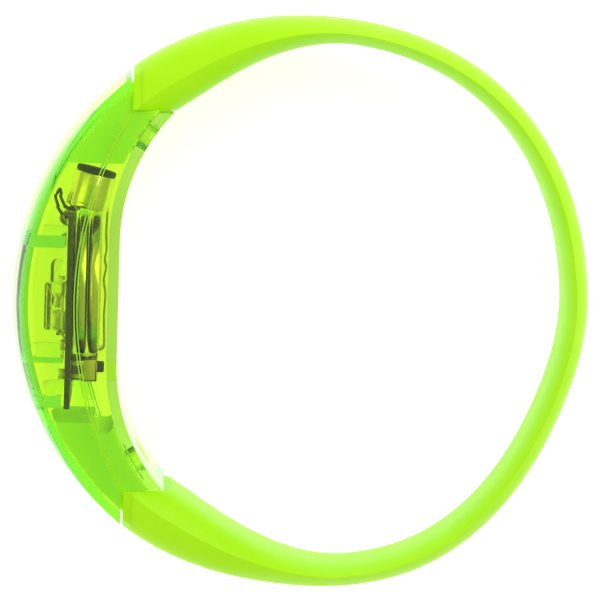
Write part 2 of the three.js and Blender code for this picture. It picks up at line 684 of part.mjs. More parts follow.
function switchKnob() {
  const x = [SWITCH_MOUTH_X - KNOB_FOOT, WRIST_X - WALL - KNOB_SINK];
  return box(x, [KNOB_Y - KNOB / 2, KNOB_Y + KNOB / 2], [KNOB_REST_Z - KNOB / 2, KNOB_REST_Z + KNOB / 2]);
}

// The window in the inner cover through which the knob is reached.
function knobSlot() {
  return solid(box([PARTING_X + 1, 0], ...knobSweep(FIT * 2)));
}

// ---- The wristband ----

const wristband = new THREE.Group();
wristband.add(
  mesh("outer_cover", outerCover(), 0x8fdc28, CLEAR_GREEN),
  mesh("inner_cover", innerCover(), 0x8fdc28, CLEAR_GREEN),
  mesh("strap", strap(), 0xb4f838, { roughness: 0.55 }),
  mesh("circuit_board", circuitBoard(), 0x4a3a1c, { roughness: 0.6 }),
  mesh("outer_cell", cell(OUTER_CELL_X), 0xb8bcb8, METAL),
  mesh("inner_cell", cell(INNER_CELL_X), 0xb8bcb8, METAL),
  mesh("battery_clip", batteryClip(), 0x9a9c90, METAL),
  mesh("microphone_can", rod(micPoint(0), micPoint(MIC_LENGTH), MIC_RADIUS, 32), 0xc8ccc6, METAL),
  mesh(
    "microphone_felt",
    rod(micPoint(MIC_LENGTH + FIT), micPoint(MIC_LENGTH + FIT + FELT_THICKNESS), FELT_RADIUS, 32),
    0x1c1c1c,
    { roughness: 0.95 },
  ),
  mesh("microphone_wire_1", micWire(-1), 0x303030),
  mesh("microphone_wire_2", micWire(1), 0x303030),
  mesh("block_led_lens", blockLens(), 0xe8f4ee, { roughness: 0.08, transparent: true, opacity: 0.4 }),
  mesh("block_led_frame", leadFrame(BLOCK_LED, BLOCK_FRAME), 0x9ea4a4, METAL),
  mesh("tube_led_lens", tubeLens(), 0xe8f4ee, { roughness: 0.08, transparent: true, opacity: 0.4 }),
  mesh("tube_led_frame", leadFrame(TUBE_LED, TUBE_FRAME), 0x9ea4a4, METAL),
  mesh("control_chip", controlChip(), 0x151515, { roughness: 0.4 }),
  mesh("centre_resistor", chipPart(CENTRE_RESISTOR_PLACE, RESISTOR), 0x181818),
  mesh("lower_resistor_1", chipPart(LOWER_RESISTOR_PLACES[0], RESISTOR), 0x181818),
  mesh("lower_resistor_2", chipPart(LOWER_RESISTOR_PLACES[1], RESISTOR), 0x181818),
  mesh("capacitor", chipPart(CAPACITOR_PLACE, CAPACITOR), 0xa8865a),
  mesh("switch_body", switchBody(), 0x8c9696, { roughness: 0.35, metalness: 0.8 }),
  mesh("switch_knob", switchKnob(), 0x202020),
  mesh("upper_screw", screw(1), 0xb0b4b4, METAL),
  mesh("lower_screw", screw(-1), 0xb0b4b4, METAL),
);

export default wristband;
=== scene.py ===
"""Looks for the light-up wristband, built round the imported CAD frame. Sizes here are in millimetres."""

import math

import bmesh
import bpy
from mathutils import Matrix, Vector


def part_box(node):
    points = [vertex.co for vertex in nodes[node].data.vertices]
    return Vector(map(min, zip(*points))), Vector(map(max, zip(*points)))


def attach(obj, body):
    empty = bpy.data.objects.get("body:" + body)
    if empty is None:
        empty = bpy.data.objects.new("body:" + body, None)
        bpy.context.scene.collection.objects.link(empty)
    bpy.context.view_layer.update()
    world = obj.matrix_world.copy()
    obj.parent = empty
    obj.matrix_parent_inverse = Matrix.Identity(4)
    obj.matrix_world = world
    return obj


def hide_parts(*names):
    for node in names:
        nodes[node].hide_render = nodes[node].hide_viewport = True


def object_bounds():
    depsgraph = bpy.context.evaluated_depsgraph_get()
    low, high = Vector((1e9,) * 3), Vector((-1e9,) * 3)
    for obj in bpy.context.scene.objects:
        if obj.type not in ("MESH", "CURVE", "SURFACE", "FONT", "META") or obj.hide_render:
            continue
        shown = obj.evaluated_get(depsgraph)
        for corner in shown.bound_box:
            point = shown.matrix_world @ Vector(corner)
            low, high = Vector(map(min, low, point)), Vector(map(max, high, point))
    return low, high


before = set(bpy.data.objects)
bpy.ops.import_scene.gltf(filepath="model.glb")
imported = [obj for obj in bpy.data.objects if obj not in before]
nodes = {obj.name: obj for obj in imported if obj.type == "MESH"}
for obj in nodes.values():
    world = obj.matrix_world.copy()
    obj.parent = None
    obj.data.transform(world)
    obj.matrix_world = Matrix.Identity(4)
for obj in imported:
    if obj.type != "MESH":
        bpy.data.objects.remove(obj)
cad_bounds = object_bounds()
MM = 0.001


def corners(node):
    """A CAD node's lowest and highest corner, in millimetres."""
    low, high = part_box(node)
    return low / MM, high / MM


# ---- Sizes read from the frame ----

OUTER_HIGH = corners("outer_cover")[1]
INNER_HIGH = corners("inner_cover")[1]
STRAP_LOW, STRAP_HIGH = corners("strap")
BOARD_LOW, BOARD_HIGH = corners("circuit_board")
MIDDLE_Z = OUTER_HIGH.z / 2
RING_RADIUS = STRAP_HIGH.x
MOUTH_X = OUTER_HIGH.x
CASE_HALF_LENGTH = INNER_HIGH.y
FIT = 0.3  # gap round seated pieces, as in the CAD
WALL = 1.5
AXIS_RADIUS = 0.02  # how near a turned profile comes to its own axis


# ---- Materials ----

MOST_BOUNCES = 11  # a ray that has bounced more often goes straight on through clear plastic


class Look:
    """A node material with a Principled shader."""

    def __init__(self, name, color, roughness, **sockets):
        self.material = bpy.data.materials.new(name)
        self.material.use_nodes = True
        tree = self.material.node_tree
        self.nodes, self.links = tree.nodes, tree.links
        self.shader = self.nodes["Principled BSDF"]
        self.output = self.nodes["Material Output"]
        self.set("Base Color", (*color, 1))
        self.set("Roughness", roughness)
        for socket, value in sockets.items():
            self.set(socket.replace("_", " "), value)

    def set(self, socket, value):
        self.shader.inputs[socket].default_value = value

    def node(self, kind, **values):
        made = self.nodes.new(kind)
        for key, value in values.items():
            if hasattr(made, key):
                setattr(made, key, value)
            else:
                made.inputs[key.replace("_", " ")].default_value = value
        return made

    def link(self, out, into):
        self.links.new(out, into)

    def place(self):
        """Object coordinates, in metres."""
        if not hasattr(self, "_place"):
            self._place = self.node("ShaderNodeTexCoord").outputs["Object"]
        return self._place

    def noise(self, size_mm, detail=3, stretch=None, roughness=0.5):
        """Noise whose features are about size_mm across; stretch scales it along X, Y and Z."""
        made = self.node("ShaderNodeTexNoise", Scale=1 / (size_mm * MM), Detail=detail, Roughness=roughness)
        vector = self.place()
        if stretch:
            mapping = self.node("ShaderNodeMapping", Scale=stretch)
            self.link(vector, mapping.inputs["Vector"])
            vector = mapping.outputs["Vector"]
        self.link(vector, made.inputs["Vector"])
        return made.outputs["Fac"]

    def ramp(self, factor, low, high, start=0.3, end=0.7):
        made = self.node("ShaderNodeValToRGB")
        first, last = made.color_ramp.elements
        first.position, first.color = start, (*low, 1)
        last.position, last.color = end, (*high, 1)
        self.link(factor, made.inputs["Fac"])
        return made.outputs["Color"]

    def spread(self, factor, low, high):
        """Maps noise about its usual range of 0.3 to 0.7."""
        made = self.node("ShaderNodeMapRange")
        for socket, value in (("From Min", 0.3), ("From Max", 0.7), ("To Min", low), ("To Max", high)):
            made.inputs[socket].default_value = value
        self.link(factor, made.inputs["Value"])
        return made.outputs["Result"]

    def color_from(self, factor, low, high, start=0.3, end=0.7):
        self.link(self.ramp(factor, low, high, start, end), self.shader.inputs["Base Color"])
        return self

    def rough_from(self, factor, low, high):
        self.link(self.spread(factor, low, high), self.shader.inputs["Roughness"])
        return self

    def bump(self, height, depth_mm, strength=1.0):
        made = self.node("ShaderNodeBump", Strength=strength, Distance=depth_mm * MM)
        self.link(height, made.inputs["Height"])
        self.link(made.outputs["Normal"], self.shader.inputs["Normal"])
        return self

    def lets_lamps_through(self, tint):
        """Light for what lies inside comes straight through, with a tint, and so do rays caught in a wall."""
        clear = self.node("ShaderNodeBsdfTransparent", Color=(*tint, 1))
        path = self.node("ShaderNodeLightPath")
        caught = self.node("ShaderNodeMath", operation="GREATER_THAN")
        caught.inputs[1].default_value = MOST_BOUNCES
        self.link(path.outputs["Ray Depth"], caught.inputs[0])
        factor = caught.outputs[0]
        for kind in ("Is Shadow Ray", "Is Diffuse Ray"):
            either = self.node("ShaderNodeMath", operation="MAXIMUM")
            self.link(path.outputs[kind], either.inputs[0])
            self.link(factor, either.inputs[1])
            factor = either.outputs[0]
        mix = self.node("ShaderNodeMixShader")
        self.link(factor, mix.inputs["Fac"])
        self.link(self.shader.outputs["BSDF"], mix.inputs[1])
        self.link(clear.outputs["BSDF"], mix.inputs[2])
        self.link(mix.outputs[0], self.output.inputs["Surface"])
        return self

    def absorbs(self, color, density):
        volume = self.node("ShaderNodeVolumeAbsorption", Color=(*color, 1), Density=density)
        self.link(volume.outputs["Volume"], self.output.inputs["Volume"])
        return self


def metal(name, color, roughness, grain_mm=0.2, stretch=None, spread=0.06, depth=0.0015):
    look = Look(name, color, roughness, Metallic=1.0)
    grain = look.noise(grain_mm, 4, stretch)
    darker = tuple(c * 0.8 for c in color)
    look.color_from(grain, darker, color)
    look.rough_from(grain, roughness, roughness + spread)
    return look.bump(grain, depth)


def clear_plastic(name, color, absorbed, density):
    look = Look(name, color, 0.02, Transmission_Weight=1.0, IOR=1.45)
    look.rough_from(look.noise(4, 2), 0.01, 0.035)
    look.bump(look.noise(7, 2), 0.012)
    return look.lets_lamps_through((0.9, 0.99, 0.6)).absorbs(absorbed, density)


outer_green = clear_plastic("clear_green_outer", (0.84, 0.98, 0.12), (0.3, 0.82, 0.0), 66)
inner_green = clear_plastic("clear_green_inner", (0.85, 0.98, 0.16), (0.12, 0.5, 0.2), 32)

silicone = Look("lime_silicone", (0.42, 0.86, 0.003), 0.42, Subsurface_Weight=0.25, Subsurface_Scale=0.0012)
silicone.set("Subsurface Radius", (1.0, 1.0, 0.25))
silicone.set("Specular IOR Level", 0.2)
silicone.color_from(silicone.noise(9, 3), (0.41, 0.85, 0.002), (0.44, 0.88, 0.004))
silicone.rough_from(silicone.noise(1.6, 4), 0.38, 0.5)
silicone.bump(silicone.noise(0.25, 2), 0.004)

board_look = Look("board_laminate", (0.03, 0.05, 0.015), 0.35)
board_look.color_from(board_look.noise(0.5, 3), (0.02, 0.028, 0.01), (0.035, 0.045, 0.016))
trace_look = Look("masked_copper", (0.05, 0.09, 0.02), 0.3, Metallic=0.3)
steel = metal("cell_steel", (0.7, 0.7, 0.66), 0.18, 0.25, (1, 1, 6))
nickel = metal("clip_nickel", (0.55, 0.53, 0.42), 0.2, 0.3, (1, 6, 1))
aluminium = metal("can_aluminium", (0.8, 0.81, 0.78), 0.2, 0.25, (1, 6, 1))
tin = metal("lead_tin", (0.66, 0.69, 0.72), 0.22)
solder = metal("solder", (0.72, 0.72, 0.7), 0.16, 0.25, depth=0.004)
zinc = metal("zinc_plate", (0.68, 0.69, 0.7), 0.22)
copper = metal("pad_finish", (0.8, 0.62, 0.3), 0.3)

felt = Look("felt", (0.01, 0.016, 0.01), 0.95, Sheen_Weight=0.25)
felt.color_from(felt.noise(0.12, 5), (0.003, 0.006, 0.003), (0.02, 0.03, 0.02))
felt.bump(felt.noise(0.1, 6), 0.05)

epoxy = Look("led_epoxy", (0.93, 0.97, 0.95), 0.05, Transmission_Weight=1.0, IOR=1.4)
epoxy.rough_from(epoxy.noise(1.2, 2), 0.03, 0.07)
epoxy.lets_lamps_through((0.95, 0.97, 0.96))

dome = Look("chip_epoxy", (0.012, 0.012, 0.014), 0.22)
dome.rough_from(dome.noise(0.8, 3), 0.16, 0.32)
dome.bump(dome.noise(1.1, 2), 0.03)

black_body = Look("resistor_body", (0.012, 0.012, 0.013), 0.5)
black_body.bump(black_body.noise(0.15, 3), 0.006)
tan_body = Look("capacitor_body", (0.42, 0.27, 0.13), 0.45)
tan_body.color_from(tan_body.noise(0.3, 3), (0.36, 0.22, 0.1), (0.46, 0.3, 0.15))
knob_look = Look("knob_nylon", (0.02, 0.02, 0.022), 0.45)
knob_look.bump(knob_look.noise(0.2, 3), 0.005)
# Frosted lime plastic for the joint strips, a painted highlight: the strips show as bright lines along the
# joint
seam_edge_glint = Look("moulded_edge_glint", (0.42, 0.86, 0.03), 0.3, Transmission_Weight=0.3)
seam_edge_glint.set("Specular IOR Level", 0.3)
seam_edge_glint.rough_from(seam_edge_glint.noise(1.5, 2), 0.24, 0.36)
dark_rubber = Look("cell_seal", (0.03, 0.03, 0.03), 0.6)
dark_rubber.rough_from(dark_rubber.noise(0.3, 3), 0.5, 0.7)
insulation = Look("wire_insulation", (0.02, 0.035, 0.015), 0.38)
insulation.rough_from(insulation.noise(0.4, 2), 0.32, 0.45)
phosphor = Look("led_die", (0.75, 0.68, 0.3), 0.5)
phosphor.color_from(phosphor.noise(0.15, 2), (0.7, 0.62, 0.25), (0.8, 0.72, 0.34))

# ---- The clear covers, as the CAD has them ----

WELD_DISTANCE = 1e-6  # metres
FLAT_ANGLE = 0.6  # degrees; facets nearer flat than this are joined
COVER_EDGE = 0.2


def smooth(obj, bevel, segments=3, angle=32):
    """Welds the node's loose triangles, rounds its edges a little and shades it smoothly."""
    for polygon in obj.data.polygons:
        polygon.use_smooth = True
    weld = obj.modifiers.new("weld", "WELD")
    weld.merge_threshold = WELD_DISTANCE
    flat = obj.modifiers.new("flat", "DECIMATE")
    flat.decimate_type = "DISSOLVE"
    flat.angle_limit = math.radians(FLAT_ANGLE)
    edge = obj.modifiers.new("edge", "BEVEL")
    edge.width = bevel * MM
    edge.segments = segments
    edge.limit_method = "ANGLE"
    edge.angle_limit = math.radians(angle)
    even = obj.modifiers.new("even", "WEIGHTED_NORMAL")
    even.keep_sharp = True


for name, look in (("outer_cover", outer_green), ("inner_cover", inner_green)):
    nodes[name].data.materials.clear()
    nodes[name].data.materials.append(look.material)
    smooth(nodes[name], COVER_EDGE)

# ---- Mesh building, in millimetres ----

def merge(into, part, material=0):
    """Adds one mesh to another, all in one material."""
    for face in part.faces:
        face.material_index = material
    mesh = bpy.data.meshes.new("part")
    part.to_mesh(mesh)
    part.free()
    into.from_mesh(mesh)
    bpy.data.meshes.remove(mesh)


def skin(into, rows, material=0):
    """A closed skin through rings of points."""
    part = bmesh.new()
    rings = [[part.verts.new(point) for point in row] for row in rows]
    for ring, after in zip(rings, rings[1:]):
        for i in range(len(ring)):
            j = (i + 1) % len(ring)
            part.faces.new((ring[i], ring[j], after[j], after[i]))
    part.faces.new(rings[0][::-1])
    part.faces.new(rings[-1])
    merge(into, part, material)


def block(into, low, high, rounding=0.0, material=0, turn=None, segments=2):
    """A box with rounded edges, turned about its own middle if asked."""
    part = bmesh.new()
    bmesh.ops.create_cube(part, size=1)
    low, high = Vector(low), Vector(high)
    for vert in part.verts:
        vert.co = Vector(c * s for c, s in zip(vert.co, high - low))
    if rounding:
        edges = part.edges[:]
        bmesh.ops.bevel(part, geom=edges, offset=rounding, segments=segments, affect="EDGES", profile=0.5)
    middle = Matrix.Translation((low + high) / 2)
    part.transform(middle @ turn.to_4x4() if turn else middle)
    merge(into, part, material)


def across(axis):
    """Two directions square to an axis and to each other."""
    axis = Vector(axis).normalized()
    first = axis.cross(Vector((0, 0, 1)) if abs(axis.z) < 0.9 else Vector((1, 0, 0))).normalized()
    return first, axis.cross(first)


def lathe(into, profile, origin, axis, segments):
    """A body turned about an axis from (radius, height) pairs."""
    first, second = across(axis)
    axis, origin = Vector(axis).normalized(), Vector(origin)
    rows = []
    for radius, along in profile:
        row = []
        for i in range(segments):
            angle = math.tau * i / segments
            out = first * math.cos(angle) + second * math.sin(angle)
            row.append(origin + axis * along + out * radius)
        rows.append(row)
    skin(into, rows)


def skin_ring(part, profile, origin, segments=96):
    """A closed ring about +X from (radius, height) pairs."""
    rows = []
    for i in range(segments):
        angle = math.tau * i / segments
        y, z = math.cos(angle), math.sin(angle)
        rows.append([part.verts.new(Vector(origin) + Vector((h, r * y, r * z))) for r, h in profile])
    for i in range(segments):
        row, after = rows[i], rows[(i + 1) % segments]
        for j in range(len(profile)):
            k = (j + 1) % len(profile)
            part.faces.new((row[j], row[k], after[k], after[j]))


def curve_through(points, steps):
    """A smooth line through points, with steps on each stretch."""
    points = [Vector(point) for point in points]
    ends = [points[0] * 2 - points[1], *points, points[-1] * 2 - points[-2]]
    line = []
    for a, b, c, d in zip(ends, ends[1:], ends[2:], ends[3:]):
        for i in range(steps):
            t = i / steps
            square, cube = 2 * a - 5 * b + 4 * c - d, 3 * b - a - 3 * c + d
            line.append(0.5 * (2 * b + (c - a) * t + square * t**2 + cube * t**3))
    return [*line, points[-1]]


def tube(into, line, radius, sides, material=0):
    """A round wire along a line."""
    rows = []
    first = None
    for i, point in enumerate(line):
        ahead = (line[min(i + 1, len(line) - 1)] - line[max(i - 1, 0)]).normalized()
        first = across(ahead)[0] if first is None else (first - ahead * first.dot(ahead)).normalized()
        second = ahead.cross(first)
        angles = [math.tau * j / sides for j in range(sides)]
        rows.append([point + (first * math.cos(a) + second * math.sin(a)) * radius for a in angles])
    skin(into, rows, material)


def blob(into, middle, radii, material=0):
    """A rounded drop, such as a solder joint."""
    part = bmesh.new()
    bmesh.ops.create_uvsphere(part, u_segments=20, v_segments=12, radius=1)
    part.transform(Matrix.Translation(middle) @ Matrix.Diagonal((*radii, 1)))
    merge(into, part, material)


def in_metres(name, built):
    """Millimetre mesh data as a mesh, with its faces outwards."""
    mesh = bpy.data.meshes.new(name)
    bmesh.ops.recalc_face_normals(built, faces=built.faces)
    built.to_mesh(mesh)
    built.free()
    mesh.transform(Matrix.Scale(MM, 4))
    return mesh


def linked(name, mesh, *looks):
    """A new object in the scene, with its looks in order."""
    for look in looks:
        mesh.materials.append(look.material)
    obj = bpy.data.objects.new(name, mesh)
    bpy.context.scene.collection.objects.link(obj)
    return obj


def piece(name, built, looks, replaces=(), body="wristband", sharp=35):
    """A finished piece from millimetre mesh data, riding on its body."""
    mesh = in_metres(name, built)
    mesh.shade_smooth()
    mesh.set_sharp_from_angle(angle=math.radians(sharp))
    obj = linked(name, mesh, *looks)
    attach(obj, body)
    if replaces:
        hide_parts(*replaces)
    return obj


def apply_modifiers(obj):
    """Turns what the modifiers show into the object's own mesh."""
    graph = bpy.context.evaluated_depsgraph_get()
    mesh = bpy.data.meshes.new_from_object(obj.evaluated_get(graph))
    obj.modifiers.clear()
    obj.data = mesh


def cut(obj, cutter, operation):
    """Changes the first solid by a boolean with the second."""
    step = obj.modifiers.new("cut", "BOOLEAN")
    step.solver = "EXACT"
    step.operation = operation
    step.object = cutter
    bpy.context.view_layer.update()
    apply_modifiers(obj)


def rounded(obj, width, segments=3, angle=40):
    """Rounds sharp edges and evens the shading."""
    edge = obj.modifiers.new("edge", "BEVEL")
    edge.width = width * MM
    edge.segments = segments
    edge.limit_method = "ANGLE"
    edge.angle_limit = math.radians(angle)
    even = obj.modifiers.new("even", "WEIGHTED_NORMAL")
    even.keep_sharp = True


# ---- Painted highlight: raised strips along the joint between the covers, standing in for its glints ----

PARTING_DEPTH = 8.9
PARTING_RADIUS = 52
SEAM = 0.3
CASE_FLAT = 10
CASE_DRAW = 2
EDGE_RADIUS = 0.085
EDGE_SINK = 0.05  # how far an edge's middle lies inside its cover, from the side wall and from the joint
EDGE_SHORT = 0.6  # an edge's end to the case's end
EDGE_STEPS = 60


def side_reach(y):
    """How far a side wall stands from the case's middle, at a given Y."""
    end = math.sqrt(RING_RADIUS**2 - MOUTH_X**2) - CASE_FLAT
    radius = (end**2 + CASE_DRAW**2) / (2 * CASE_DRAW)
    past = max(abs(y) - CASE_FLAT, 0)
    return MIDDLE_Z - radius + math.sqrt(radius**2 - past**2)


def seam_edge_glints(node, inset):
    """One cover's raised strips along the joint, on both side walls, a painted highlight standing in for the
    joint's glints; inset is from the parting line towards the wrist.
    """
    built = bmesh.new()
    reach = CASE_HALF_LENGTH - EDGE_SHORT
    middle_x = PARTING_DEPTH - RING_RADIUS + PARTING_RADIUS
    for side in (-1, 1):
        line = []
        for i in range(EDGE_STEPS + 1):
            y = reach * (2 * i / EDGE_STEPS - 1)
            x = middle_x - math.sqrt((PARTING_RADIUS - inset) ** 2 - y**2)
            line.append(Vector((x, y, MIDDLE_Z + side * (side_reach(y) - EDGE_SINK))))
        tube(built, line, EDGE_RADIUS, 10)
    piece(node + "_edge_glint", built, [seam_edge_glint])


# Painted highlight: strips on both covers that stand in for the glints along the joint
seam_edge_glints("outer_cover", -EDGE_SINK)
seam_edge_glints("inner_cover", SEAM + EDGE_SINK)

# ---- Silicone band ----

def ease(value, start, end):
    """0 before start and 1 after end, with a smooth rise between them."""
    t = min(max((value - start) / (end - start), 0), 1)
    return t * t * (3 - 2 * t)


# Degrees from +X, and how far the slack strap stands out past the ring there.
STRAP_BULGES = [
    (-135, -0.3), (-100, -0.75), (-62, 0.85), (-22, -0.55), (3, 0.0), (45, 0.9), (92, -0.4), (135, 0.0),
]
STRAP_THICKNESS = 3.5
STRAP_WIDTH = 16
RIDGE_SHARE = 0.57  # share of the thickness that lies outside the side ridge
CASE_END_WIDTH = STRAP_HIGH.z - STRAP_LOW.z
MOUTH_THICKNESS = RING_RADIUS - math.hypot(INNER_HIGH.x, CASE_HALF_LENGTH)
MOUTH_ANGLE = math.atan2(math.sqrt(RING_RADIUS**2 - MOUTH_X**2), MOUTH_X)
SPLIT_ANGLE = math.atan2(CASE_HALF_LENGTH, MOUTH_X)
BAND_STATIONS = 260
BAND_OVERRUN = math.radians(3)  # past the case's mouth, before it is cut
BAND_EDGE = 0.22


def strap_bulge(angle):
    """How far the strap stands out past the ring, at an angle in degrees."""
    if angle <= STRAP_BULGES[0][0]:
        return STRAP_BULGES[0][1]
    for (start, low), (end, high) in zip(STRAP_BULGES, STRAP_BULGES[1:]):
        if angle <= end:
            return low + (high - low) * ease(angle, start, end)
    return STRAP_BULGES[-1][1]


def strap_section(angle, steps=30):
    """The strap's outline at an angle from +X, with its side ridges."""
    run = abs(angle) / MOUTH_ANGLE
    outer = RING_RADIUS + strap_bulge(math.degrees(angle))
    thickness = STRAP_THICKNESS + (MOUTH_THICKNESS - STRAP_THICKNESS) * ease(run, 0.63, 0.99)
    half_width = (STRAP_WIDTH + (CASE_END_WIDTH - STRAP_WIDTH) * ease(run, 0.35, 1)) / 2
    squareness = 4 + 3 * ease(run, 0.6, 1)
    ridge = outer - RIDGE_SHARE * thickness
    points = []
    for i in range(steps * 2):
        across_width = math.cos(i / steps * math.pi)
        side = RIDGE_SHARE if i < steps else RIDGE_SHARE - 1
        radius = ridge + side * thickness * (1 - abs(across_width) ** squareness)
        z = MIDDLE_Z + across_width * half_width
        points.append(Vector((radius * math.cos(angle), radius * math.sin(angle), z)))
    return points


def case_room():
    """A T-shaped block that holds everything of the strap inside the case."""
    far = RING_RADIUS * 2
    split, mouth = CASE_HALF_LENGTH + FIT, MOUTH_X + FIT
    upper = [(0, split), (mouth, split), (mouth, far), (-far, far)]
    lower = [(x, -y) for x, y in reversed(upper)]
    built = bmesh.new()
    skin(built, [[(x, y, z) for x, y in lower + upper] for z in (-far, far)])
    return linked("case_room", in_metres("case_room", built))


def silicone_band():
    """The loop outside the case and the CAD's own tongues inside it, as one piece."""
    reach = SPLIT_ANGLE + BAND_OVERRUN
    built = bmesh.new()
    skin(built, [strap_section(reach * (2 * i / BAND_STATIONS - 1)) for i in range(BAND_STATIONS + 1)])
    band = piece("silicone_band", built, [silicone], ["strap"])
    room = case_room()
    cut(band, room, "DIFFERENCE")
    tongues = linked("tongues", nodes["strap"].data.copy())
    weld = tongues.modifiers.new("weld", "WELD")
    weld.merge_threshold = WELD_DISTANCE
    apply_modifiers(tongues)
    cut(tongues, room, "INTERSECT")
    built = bmesh.new()
    built.from_mesh(band.data)
    built.from_mesh(tongues.data)
    built.to_mesh(band.data)
    built.free()
    for spare in (room, tongues):
        bpy.data.objects.remove(spare)
    for polygon in band.data.polygons:
        polygon.use_smooth = True
        polygon.material_index = 0
    rounded(band, BAND_EDGE)


silicone_band()

# ---- Cells and clip ----

CELL_LOW, CELL_HIGH = corners("outer_cell")
CELL_THICKNESS = CELL_HIGH.x - CELL_LOW.x


def cell(node):
    """A can with its crimped rim, a cap that stands in it, and the seal between them."""
    low, high = corners(node)
    radius = (high.y - low.y) / 2
    back = CELL_THICKNESS
    origin = (low.x, (low.y + high.y) / 2, (low.z + high.z) / 2)
    can = [
        (AXIS_RADIUS, 0.3), (radius - 1.3, 0.3), (radius - 0.95, 0.42),
        (radius - 0.85, 0.3), (radius - 0.75, 0.22),
        (radius - 0.45, 0.2), (radius - 0.18, 0.28), (radius - 0.03, 0.46), (radius, 0.7),
        (radius, back - 0.3), (radius - 0.08, back - 0.1), (radius - 0.28, back),
        (radius - 2.2, back), (radius - 2.3, back - 0.05), (radius - 2.4, back), (AXIS_RADIUS, back),
    ]
    cap = [
        (AXIS_RADIUS, 0), (radius - 1.75, 0), (radius - 1.45, 0.05), (radius - 1.32, 0.2),
        (radius - 1.3, 0.5), (AXIS_RADIUS, 0.5),
    ]
    seal = [(radius - 1.25, 0.1), (radius - 0.95, 0.1), (radius - 0.9, 0.4), (radius - 1.25, 0.4)]
    built = bmesh.new()
    lathe(built, can, origin, (1, 0, 0), 128)
    lathe(built, cap, origin, (1, 0, 0), 128)
    part = bmesh.new()
    skin_ring(part, seal, origin)
    merge(built, part, 1)
    piece(node + "_steel", built, [steel, dark_rubber], [node], sharp=40)


cell("outer_cell")
cell("inner_cell")

CLIP_LOW, CLIP_HIGH = corners("battery_clip")
CLIP_SHEET = 0.3
CLIP_DIMPLE = 0.28
CLIP_ROUND = 0.05


def battery_clip():
    """A bent leaf along the inner cell, with a dimple at the cell's middle."""
    top, bottom = CLIP_HIGH.y - CLIP_SHEET / 2, CLIP_LOW.y + CLIP_SHEET / 2
    leaf = CLIP_HIGH.x - CLIP_SHEET / 2
    middle = (CELL_LOW.y + CELL_HIGH.y) / 2
    points = [
        (BOARD_LOW.x, top), (leaf - 0.5, top), (leaf - 0.1, top - 0.12), (leaf, top - 0.6),
        (leaf - 0.1, middle + 7), (leaf, middle + 4.4), (leaf - CLIP_DIMPLE * 0.7, middle + 3),
        (leaf, middle + 1.8), (leaf - CLIP_DIMPLE, middle),
        (leaf, middle - 2), (leaf - 0.12, middle - 5), (leaf, bottom + 0.9), (leaf - 0.2, bottom + 0.25),
        (leaf - 0.7, bottom), (leaf - CELL_THICKNESS, bottom + 0.05),
    ]
    line = curve_through([(x, y, 0) for x, y in points], 10)
    built = bmesh.new()
    half_width = (CLIP_HIGH.z - CLIP_LOW.z) / 2
    mid_z = (CLIP_HIGH.z + CLIP_LOW.z) / 2
    flat, thin = half_width - CLIP_ROUND, CLIP_SHEET / 2 - CLIP_ROUND
    far_end = [(CLIP_SHEET / 2, flat), (thin, half_width), (-thin, half_width), (-CLIP_SHEET / 2, flat)]
    section = far_end + [(-out, -z) for out, z in far_end]
    rows = []
    for i, point in enumerate(line):
        ahead = (line[min(i + 1, len(line) - 1)] - line[max(i - 1, 0)]).normalized()
        normal = Vector((-ahead.y, ahead.x, 0))
        rows.append([point + normal * out + Vector((0, 0, mid_z + z)) for out, z in section])
    skin(built, rows)
    piece("clip_leaf", built, [nickel], ["battery_clip"], sharp=40)


battery_clip()

# ---- Microphone ----

MIC_RADIUS = 2.9
MIC_LENGTH = 5.0
MIC_LEAN = math.radians(13)
CAN_LOW, CAN_HIGH = corners("microphone_can")
MIC_AXIS = Vector((math.sin(MIC_LEAN), math.cos(MIC_LEAN), 0))
MIC_REACH = Vector((math.cos(MIC_LEAN), math.sin(MIC_LEAN), 0)) * MIC_RADIUS
MIC_FOOT = Vector((CAN_LOW.x, CAN_LOW.y, (CAN_LOW.z + CAN_HIGH.z) / 2)) + MIC_REACH
FELT_RADIUS = 2.8
FELT_GAP = 0.02
FELT_TOP = 0.8  # the can's end to the felt's outer face


def microphone():
    """A drawn can with rolled rims, and the felt on its end."""
    r, h = MIC_RADIUS, MIC_LENGTH
    can = [
        (AXIS_RADIUS, 0.3), (r - 0.6, 0.3), (r - 0.55, 0.04), (r - 0.35, 0),
        (r - 0.1, 0.04), (r, 0.2), (r, 0.62),
        (r - 0.06, 0.7), (r, 0.78), (r, h - 0.28), (r - 0.05, h - 0.1), (r - 0.18, h), (r - 0.4, h),
        (r - 0.5, h - 0.1), (r - 0.52, h - 0.25), (AXIS_RADIUS, h - 0.25),
    ]
    built = bmesh.new()
    lathe(built, can, MIC_FOOT, MIC_AXIS, 96)
    piece("microphone_shell", built, [aluminium], ["microphone_can"])
    r, rim, top = FELT_RADIUS, h + FELT_GAP, h + FELT_TOP
    pad = [
        (AXIS_RADIUS, rim), (r - 0.1, rim), (r, rim + 0.12), (r, top - 0.2),
        (r - 0.1, top - 0.06), (r - 0.35, top), (AXIS_RADIUS, top),
    ]
    built = bmesh.new()
    lathe(built, pad, MIC_FOOT, MIC_AXIS, 96)
    piece("microphone_pad", built, [felt], ["microphone_felt"])


microphone()

WIRE_SPACING = 1.8
WIRE_ROOM = 1.9  # a loop to the inside of the outer wall
WIRE_RADIUS = 0.2
STRAND_RADIUS = 0.11


